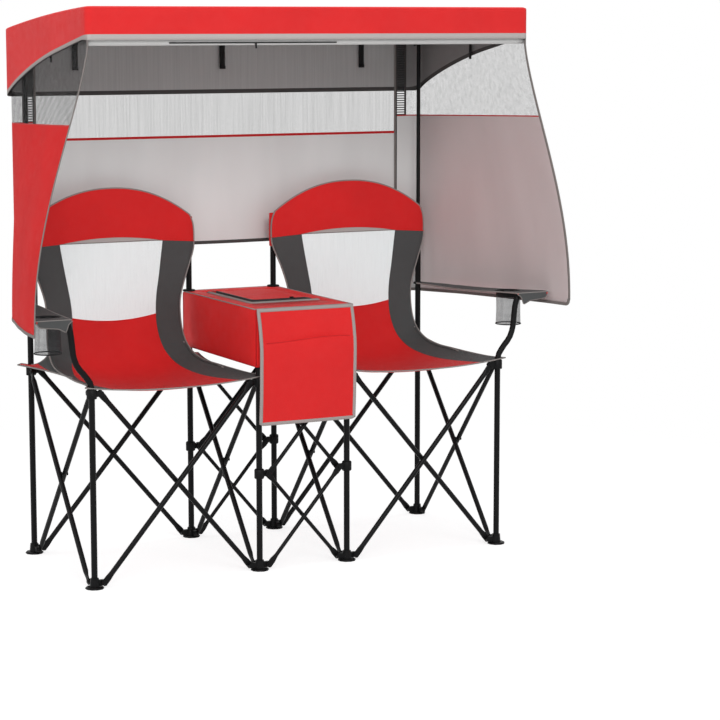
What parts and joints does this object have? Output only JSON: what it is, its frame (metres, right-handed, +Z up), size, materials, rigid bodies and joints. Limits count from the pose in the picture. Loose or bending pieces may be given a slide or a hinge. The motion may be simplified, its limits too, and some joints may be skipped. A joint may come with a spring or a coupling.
{
  "type": "folding camping loveseat",
  "caption": "Two joined bucket camping chairs on crossed folding legs, with cup nets, a drinks box between them and a sun canopy with part-mesh curtains",
  "frame": {"origin": "on the ground under the middle of the object's bounding box", "axes": "+Z up, -Y the front that the seats face, +X to the right when seen from the front"},
  "size_m": [1.5334, 0.612, 1.4599],
  "materials": {
    "painted_steel": "black powder coat",
    "black_plastic": "moulded, matte",
    "red_cloth": "woven polyester",
    "charcoal_cloth": "woven polyester",
    "silver_cloth": "coated cloth and mesh"
  },
  "bodies": {
    "leg_front_left_outer": {"leg_front_left_outer": "painted_steel"},
    "hub_front_left_outer": {"hub_front_left_outer": "black_plastic", "armrest_left": "charcoal_cloth"},
    "leg_front_left_inner": {"leg_front_left_inner": "painted_steel"},
    "hub_front_left_inner": {"hub_front_left_inner": "black_plastic", "cooler_body": "red_cloth"},
    "slider_front_left_inner": {"slider_front_left_inner": "black_plastic"},
    "leg_front_right_inner": {"leg_front_right_inner": "painted_steel"},
    "hub_front_right_inner": {"hub_front_right_inner": "black_plastic"},
    "slider_front_right_inner": {"slider_front_right_inner": "black_plastic"},
    "leg_front_right_outer": {"leg_front_right_outer": "painted_steel"},
    "hub_front_right_outer": {"hub_front_right_outer": "black_plastic", "armrest_right": "charcoal_cloth"},
    "leg_rear_left_outer": {"leg_rear_left_outer": "painted_steel"},
    "hub_rear_left_outer": {"hub_rear_left_outer": "black_plastic"},
    "leg_rear_left_inner": {"leg_rear_left_inner": "painted_steel"},
    "hub_rear_left_inner": {"hub_rear_left_inner": "black_plastic", "sling_left": "red_cloth"},
    "slider_rear_left_inner": {"slider_rear_left_inner": "black_plastic"},
    "leg_rear_right_inner": {"leg_rear_right_inner": "painted_steel"},
    "hub_rear_right_inner": {"hub_rear_right_inner": "black_plastic", "sling_right": "red_cloth"},
    "slider_rear_right_inner": {"slider_rear_right_inner": "black_plastic"},
    "leg_rear_right_outer": {"leg_rear_right_outer": "painted_steel"},
    "hub_rear_right_outer": {"hub_rear_right_outer": "black_plastic"},
    "rod_front_left_a": {"rod_front_left_a": "painted_steel"},
    "rod_front_left_b": {"rod_front_left_b": "painted_steel"},
    "rod_front_centre_low_a": {"rod_front_centre_low_a": "painted_steel"},
    "rod_front_centre_low_b": {"rod_front_centre_low_b": "painted_steel"},
    "rod_front_centre_high_a": {"rod_front_centre_high_a": "painted_steel"},
    "rod_front_centre_high_b": {"rod_front_centre_high_b": "painted_steel"},
    "rod_front_right_a": {"rod_front_right_a": "painted_steel"},
    "rod_front_right_b": {"rod_front_right_b": "painted_steel"},
    "rod_rear_left_a": {"rod_rear_left_a": "painted_steel"},
    "rod_rear_left_b": {"rod_rear_left_b": "painted_steel"},
    "rod_rear_centre_low_a": {"rod_rear_centre_low_a": "painted_steel"},
    "rod_rear_centre_low_b": {"rod_rear_centre_low_b": "painted_steel"},
    "rod_rear_centre_high_a": {"rod_rear_centre_high_a": "painted_steel"},
    "rod_rear_centre_high_b": {"rod_rear_centre_high_b": "painted_steel"},
    "rod_rear_right_a": {"rod_rear_right_a": "painted_steel"},
    "rod_rear_right_b": {"rod_rear_right_b": "painted_steel"},
    "rod_side_left_outer_a": {"rod_side_left_outer_a": "painted_steel"},
    "rod_side_left_outer_b": {"rod_side_left_outer_b": "painted_steel"},
    "rod_side_left_inner_a": {"rod_side_left_inner_a": "painted_steel"},
    "rod_side_left_inner_b": {"rod_side_left_inner_b": "painted_steel"},
    "rod_side_right_inner_a": {"rod_side_right_inner_a": "painted_steel"},
    "rod_side_right_inner_b": {"rod_side_right_inner_b": "painted_steel"},
    "rod_side_right_outer_a": {"rod_side_right_outer_a": "painted_steel"},
    "rod_side_right_outer_b": {"rod_side_right_outer_b": "painted_steel"},
    "canopy_pole_left": {"canopy_pole_left": "painted_steel", "side_curtain_left": "silver_cloth"},
    "canopy_pole_right": {"canopy_pole_right": "painted_steel", "side_curtain_right": "silver_cloth"},
    "canopy_arm_left": {"canopy_arm_left": "painted_steel", "canopy_roof": "red_cloth", "canopy_lining": "silver_cloth"},
    "canopy_arm_right": {"canopy_arm_right": "painted_steel"},
    "cooler_lid": {"cooler_lid": "red_cloth"},
    "pocket_flap": {"pocket_flap": "red_cloth"},
    "back_curtain": {"back_curtain": "silver_cloth"}
  },
  "joints": [
    {"name": "frame_fold", "type": "hinge", "parent": "leg_front_left_inner", "child": "rod_front_left_b", "pos_m": [-0.1525, -0.217, 0.014], "axis": [0, 1, 0], "range_deg": [0, 36.5], "deforming": ["sling_left", "sling_right", "armrest_left", "armrest_right", "cooler_body", "cooler_lid", "canopy_roof", "canopy_lining", "back_curtain", "side_curtain_left", "side_curtain_right"]},
    {"name": "front_left_cross_pivot", "type": "hinge", "parent": "rod_front_left_b", "child": "rod_front_left_a", "pos_m": [-0.3575, -0.217, 0.25645], "axis": [0, 1, 0], "range_deg": [-73, 0]},
    {"name": "front_left_far_foot_pivot", "type": "hinge", "parent": "rod_front_left_a", "child": "leg_front_left_outer", "pos_m": [-0.5625, -0.217, 0.014], "axis": [0, 1, 0], "range_deg": [0, 36.5]},
    {"name": "front_left_near_hub_pivot", "type": "hinge", "parent": "rod_front_left_a", "child": "hub_front_left_inner", "pos_m": [-0.1525, -0.217, 0.4989], "axis": [0, 1, 0], "range_deg": [0, 36.5]},
    {"name": "front_left_far_hub_pivot", "type": "hinge", "parent": "rod_front_left_b", "child": "hub_front_left_outer", "pos_m": [-0.5625, -0.217, 0.4989], "axis": [0, 1, 0], "range_deg": [-36.5, 0]},
    {"name": "front_centre_low_foot_pivot", "type": "hinge", "parent": "leg_front_left_inner", "child": "rod_front_centre_low_a", "pos_m": [-0.1025, -0.217, 0.014], "axis": [0, -1, 0], "range_deg": [0, 36.5]},
    {"name": "front_centre_low_cross_pivot", "type": "hinge", "parent": "rod_front_centre_low_a", "child": "rod_front_centre_low_b", "pos_m": [0, -0.217, 0.13522], "axis": [0, -1, 0], "range_deg": [-73, 0]},
    {"name": "front_centre_low_far_foot_pivot", "type": "hinge", "parent": "rod_front_centre_low_b", "child": "leg_front_right_inner", "pos_m": [0.1025, -0.217, 0.014], "axis": [0, -1, 0], "range_deg": [0, 36.5]},
    {"name": "front_centre_low_near_hub_pivot", "type": "hinge", "parent": "rod_front_centre_low_b", "child": "slider_front_left_inner", "pos_m": [-0.1025, -0.217, 0.25645], "axis": [0, -1, 0], "range_deg": [0, 36.5]},
    {"name": "front_centre_low_far_hub_pivot", "type": "hinge", "parent": "rod_front_centre_low_a", "child": "slider_front_right_inner", "pos_m": [0.1025, -0.217, 0.25645], "axis": [0, -1, 0], "range_deg": [-36.5, 0]},
    {"name": "front_centre_high_near_hub_pivot", "type": "hinge", "parent": "hub_front_left_inner", "child": "rod_front_centre_high_b", "pos_m": [-0.1025, -0.217, 0.4989], "axis": [0, -1, 0], "range_deg": [-36.5, 0]},
    {"name": "front_centre_high_cross_pivot", "type": "hinge", "parent": "rod_front_centre_high_b", "child": "rod_front_centre_high_a", "pos_m": [0, -0.217, 0.37767], "axis": [0, -1, 0], "range_deg": [0, 73]},
    {"name": "front_centre_high_far_hub_pivot", "type": "hinge", "parent": "rod_front_centre_high_a", "child": "hub_front_right_inner", "pos_m": [0.1025, -0.217, 0.4989], "axis": [0, -1, 0], "range_deg": [-36.5, 0]},
    {"name": "front_right_foot_pivot", "type": "hinge", "parent": "leg_front_right_inner", "child": "rod_front_right_a", "pos_m": [0.1525, -0.217, 0.014], "axis": [0, -1, 0], "range_deg": [0, 36.5]},
    {"name": "front_right_cross_pivot", "type": "hinge", "parent": "rod_front_right_a", "child": "rod_front_right_b", "pos_m": [0.3575, -0.217, 0.25645], "axis": [0, -1, 0], "range_deg": [-73, 0]},
    {"name": "front_right_far_foot_pivot", "type": "hinge", "parent": "rod_front_right_b", "child": "leg_front_right_outer", "pos_m": [0.5625, -0.217, 0.014], "axis": [0, -1, 0], "range_deg": [0, 36.5]},
    {"name": "front_right_far_hub_pivot", "type": "hinge", "parent": "rod_front_right_a", "child": "hub_front_right_outer", "pos_m": [0.5625, -0.217, 0.4989], "axis": [0, -1, 0], "range_deg": [-36.5, 0]},
    {"name": "side_left_inner_foot_pivot", "type": "hinge", "parent": "leg_front_left_inner", "child": "rod_side_left_inner_a", "pos_m": [-0.1275, -0.192, 0.014], "axis": [1, 0, 0], "range_deg": [0, 36.5]},
    {"name": "side_left_inner_cross_pivot", "type": "hinge", "parent": "rod_side_left_inner_a", "child": "rod_side_left_inner_b", "pos_m": [-0.1275, 0.013, 0.25645], "axis": [1, 0, 0], "range_deg": [-73, 0]},
    {"name": "side_left_inner_far_foot_pivot", "type": "hinge", "parent": "rod_side_left_inner_b", "child": "leg_rear_left_inner", "pos_m": [-0.1275, 0.218, 0.014], "axis": [1, 0, 0], "range_deg": [0, 36.5]},
    {"name": "side_left_inner_far_hub_pivot", "type": "hinge", "parent": "rod_side_left_inner_a", "child": "hub_rear_left_inner", "pos_m": [-0.1275, 0.218, 0.4989], "axis": [1, 0, 0], "range_deg": [-36.5, 0]},
    {"name": "side_left_outer_foot_pivot", "type": "hinge", "parent": "leg_front_left_outer", "child": "rod_side_left_outer_a", "pos_m": [-0.5875, -0.192, 0.014], "axis": [1, 0, 0], "range_deg": [0, 36.5]},
    {"name": "side_left_outer_cross_pivot", "type": "hinge", "parent": "rod_side_left_outer_a", "child": "rod_side_left_outer_b", "pos_m": [-0.5875, 0.013, 0.25645], "axis": [1, 0, 0], "range_deg": [-73, 0]},
    {"name": "side_left_outer_far_foot_pivot", "type": "hinge", "parent": "rod_side_left_outer_b", "child": "leg_rear_left_outer", "pos_m": [-0.5875, 0.218, 0.014], "axis": [1, 0, 0], "range_deg": [0, 36.5]},
    {"name": "side_left_outer_far_hub_pivot", "type": "hinge", "parent": "rod_side_left_outer_a", "child": "hub_rear_left_outer", "pos_m": [-0.5875, 0.218, 0.4989], "axis": [1, 0, 0], "range_deg": [-36.5, 0]},
    {"name": "side_right_inner_foot_pivot", "type": "hinge", "parent": "leg_front_right_inner", "child": "rod_side_right_inner_a", "pos_m": [0.1275, -0.192, 0.014], "axis": [1, 0, 0], "range_deg": [0, 36.5]},
    {"name": "side_right_inner_cross_pivot", "type": "hinge", "parent": "rod_side_right_inner_a", "child": "rod_side_right_inner_b", "pos_m": [0.1275, 0.013, 0.25645], "axis": [1, 0, 0], "range_deg": [-73, 0]},
    {"name": "side_right_inner_far_foot_pivot", "type": "hinge", "parent": "rod_side_right_inner_b", "child": "leg_rear_right_inner", "pos_m": [0.1275, 0.218, 0.014], "axis": [1, 0, 0], "range_deg": [0, 36.5]},
    {"name": "side_right_inner_far_hub_pivot", "type": "hinge", "parent": "rod_side_right_inner_a", "child": "hub_rear_right_inner", "pos_m": [0.1275, 0.218, 0.4989], "axis": [1, 0, 0], "range_deg": [-36.5, 0]},
    {"name": "side_right_outer_foot_pivot", "type": "hinge", "parent": "leg_front_right_outer", "child": "rod_side_right_outer_a", "pos_m": [0.5875, -0.192, 0.014], "axis": [1, 0, 0], "range_deg": [0, 36.5]},
    {"name": "side_right_outer_cross_pivot", "type": "hinge", "parent": "rod_side_right_outer_a", "child": "rod_side_right_outer_b", "pos_m": [0.5875, 0.013, 0.25645], "axis": [1, 0, 0], "range_deg": [-73, 0]},
    {"name": "side_right_outer_far_foot_pivot", "type": "hinge", "parent": "rod_side_right_outer_b", "child": "leg_rear_right_outer", "pos_m": [0.5875, 0.218, 0.014], "axis": [1, 0, 0], "range_deg": [0, 36.5]},
    {"name": "side_right_outer_far_hub_pivot", "type": "hinge", "parent": "rod_side_right_outer_a", "child": "hub_rear_right_outer", "pos_m": [0.5875, 0.218, 0.4989], "axis": [1, 0, 0], "range_deg": [-36.5, 0]},
    {"name": "rear_left_foot_pivot", "type": "hinge", "parent": "leg_rear_left_outer", "child": "rod_rear_left_a", "pos_m": [-0.5625, 0.243, 0.014], "axis": [0, -1, 0], "range_deg": [0, 36.5]},
    {"name": "rear_left_cross_pivot", "type": "hinge", "parent": "rod_rear_left_a", "child": "rod_rear_left_b", "pos_m": [-0.3575, 0.243, 0.25645], "axis": [0, -1, 0], "range_deg": [-73, 0]},
    {"name": "rear_right_foot_pivot", "type": "hinge", "parent": "leg_rear_right_inner", "child": "rod_rear_right_a", "pos_m": [0.1525, 0.243, 0.014], "axis": [0, -1, 0], "range_deg": [0, 36.5]},
    {"name": "rear_right_cross_pivot", "type": "hinge", "parent": "rod_rear_right_a", "child": "rod_rear_right_b", "pos_m": [0.3575, 0.243, 0.25645], "axis": [0, -1, 0], "range_deg": [-73, 0]},
    {"name": "rear_centre_low_foot_pivot", "type": "hinge", "parent": "leg_rear_left_inner", "child": "rod_rear_centre_low_a", "pos_m": [-0.1025, 0.243, 0.014], "axis": [0, -1, 0], "range_deg": [0, 36.5]},
    {"name": "rear_centre_low_cross_pivot", "type": "hinge", "parent": "rod_rear_centre_low_a", "child": "rod_rear_centre_low_b", "pos_m": [0, 0.243, 0.13522], "axis": [0, -1, 0], "range_deg": [-73, 0]},
    {"name": "rear_centre_low_near_hub_pivot", "type": "hinge", "parent": "rod_rear_centre_low_b", "child": "slider_rear_left_inner", "pos_m": [-0.1025, 0.243, 0.25645], "axis": [0, -1, 0], "range_deg": [0, 36.5]},
    {"name": "rear_centre_low_far_hub_pivot", "type": "hinge", "parent": "rod_rear_centre_low_a", "child": "slider_rear_right_inner", "pos_m": [0.1025, 0.243, 0.25645], "axis": [0, -1, 0], "range_deg": [-36.5, 0]},
    {"name": "rear_centre_high_near_hub_pivot", "type": "hinge", "parent": "hub_rear_left_inner", "child": "rod_rear_centre_high_b", "pos_m": [-0.1025, 0.243, 0.4989], "axis": [0, -1, 0], "range_deg": [-36.5, 0]},
    {"name": "rear_centre_high_cross_pivot", "type": "hinge", "parent": "rod_rear_centre_high_b", "child": "rod_rear_centre_high_a", "pos_m": [0, 0.243, 0.37767], "axis": [0, -1, 0], "range_deg": [0, 73]},
    {"name": "canopy_lift", "type": "slide", "parent": "leg_rear_left_outer", "child": "canopy_pole_left", "axis": [0, 0, 1], "range_m": [0, 0.12]},
    {"name": "canopy_lift_right", "type": "slide", "parent": "leg_rear_right_outer", "child": "canopy_pole_right", "axis": [0, 0, 1], "range_m": [0, 0.12]},
    {"name": "canopy_fold", "type": "hinge", "parent": "canopy_pole_left", "child": "canopy_arm_left", "pos_m": [-0.5875, 0.243, 1.39613], "axis": [1, 0, 0], "range_deg": [0, 60], "deforming": ["canopy_lining", "side_curtain_left", "side_curtain_right"]},
    {"name": "canopy_fold_right", "type": "hinge", "parent": "canopy_pole_right", "child": "canopy_arm_right", "pos_m": [0.5875, 0.243, 1.39613], "axis": [1, 0, 0], "range_deg": [0, 60]},
    {"name": "back_curtain_hang", "type": "hinge", "parent": "canopy_arm_left", "child": "back_curtain", "pos_m": [0, 0.3017, 1.3739], "axis": [1, 0, 0], "range_deg": [-60, 0]},
    {"name": "lid_hinge", "type": "hinge", "parent": "hub_front_left_inner", "child": "cooler_lid", "pos_m": [0, 0.183, 0.6899], "axis": [-1, 0, 0], "range_deg": [0, 88]},
    {"name": "flap_swing", "type": "hinge", "parent": "hub_front_left_inner", "child": "pocket_flap", "pos_m": [0, -0.2308, 0.6899], "axis": [-1, 0, 0], "range_deg": [0, 90]}
  ],
  "couplings": [
    {"joint": "front_left_cross_pivot", "follows": "frame_fold", "ratio": -2},
    {"joint": "front_left_far_foot_pivot", "follows": "frame_fold", "ratio": 1},
    {"joint": "front_left_near_hub_pivot", "follows": "frame_fold", "ratio": 1},
    {"joint": "front_left_far_hub_pivot", "follows": "frame_fold", "ratio": -1},
    {"joint": "front_centre_low_foot_pivot", "follows": "frame_fold", "ratio": 1},
    {"joint": "front_centre_low_cross_pivot", "follows": "frame_fold", "ratio": -2},
    {"joint": "front_centre_low_far_foot_pivot", "follows": "frame_fold", "ratio": 1},
    {"joint": "front_centre_low_near_hub_pivot", "follows": "frame_fold", "ratio": 1},
    {"joint": "front_centre_low_far_hub_pivot", "follows": "frame_fold", "ratio": -1},
    {"joint": "front_centre_high_near_hub_pivot", "follows": "frame_fold", "ratio": -1},
    {"joint": "front_centre_high_cross_pivot", "follows": "frame_fold", "ratio": 2},
    {"joint": "front_centre_high_far_hub_pivot", "follows": "frame_fold", "ratio": -1},
    {"joint": "front_right_foot_pivot", "follows": "frame_fold", "ratio": 1},
    {"joint": "front_right_cross_pivot", "follows": "frame_fold", "ratio": -2},
    {"joint": "front_right_far_foot_pivot", "follows": "frame_fold", "ratio": 1},
    {"joint": "front_right_far_hub_pivot", "follows": "frame_fold", "ratio": -1},
    {"joint": "side_left_inner_foot_pivot", "follows": "frame_fold", "ratio": 1},
    {"joint": "side_left_inner_cross_pivot", "follows": "frame_fold", "ratio": -2},
    {"joint": "side_left_inner_far_foot_pivot", "follows": "frame_fold", "ratio": 1},
    {"joint": "side_left_inner_far_hub_pivot", "follows": "frame_fold", "ratio": -1},
    {"joint": "side_left_outer_foot_pivot", "follows": "frame_fold", "ratio": 1},
    {"joint": "side_left_outer_cross_pivot", "follows": "frame_fold", "ratio": -2},
    {"joint": "side_left_outer_far_foot_pivot", "follows": "frame_fold", "ratio": 1},
    {"joint": "side_left_outer_far_hub_pivot", "follows": "frame_fold", "ratio": -1},
    {"joint": "side_right_inner_foot_pivot", "follows": "frame_fold", "ratio": 1},
    {"joint": "side_right_inner_cross_pivot", "follows": "frame_fold", "ratio": -2},
    {"joint": "side_right_inner_far_foot_pivot", "follows": "frame_fold", "ratio": 1},
    {"joint": "side_right_inner_far_hub_pivot", "follows": "frame_fold", "ratio": -1},
    {"joint": "side_right_outer_foot_pivot", "follows": "frame_fold", "ratio": 1},
    {"joint": "side_right_outer_cross_pivot", "follows": "frame_fold", "ratio": -2},
    {"joint": "side_right_outer_far_foot_pivot", "follows": "frame_fold", "ratio": 1},
    {"joint": "side_right_outer_far_hub_pivot", "follows": "frame_fold", "ratio": -1},
    {"joint": "rear_left_foot_pivot", "follows": "frame_fold", "ratio": 1},
    {"joint": "rear_left_cross_pivot", "follows": "frame_fold", "ratio": -2},
    {"joint": "rear_right_foot_pivot", "follows": "frame_fold", "ratio": 1},
    {"joint": "rear_right_cross_pivot", "follows": "frame_fold", "ratio": -2},
    {"joint": "rear_centre_low_foot_pivot", "follows": "frame_fold", "ratio": 1},
    {"joint": "rear_centre_low_cross_pivot", "follows": "frame_fold", "ratio": -2},
    {"joint": "rear_centre_low_near_hub_pivot", "follows": "frame_fold", "ratio": 1},
    {"joint": "rear_centre_low_far_hub_pivot", "follows": "frame_fold", "ratio": -1},
    {"joint": "rear_centre_high_near_hub_pivot", "follows": "frame_fold", "ratio": -1},
    {"joint": "rear_centre_high_cross_pivot", "follows": "frame_fold", "ratio": 2},
    {"joint": "canopy_lift_right", "follows": "canopy_lift", "ratio": 1},
    {"joint": "canopy_fold_right", "follows": "canopy_fold", "ratio": 1},
    {"joint": "back_curtain_hang", "follows": "canopy_fold", "ratio": -1}
  ]
}
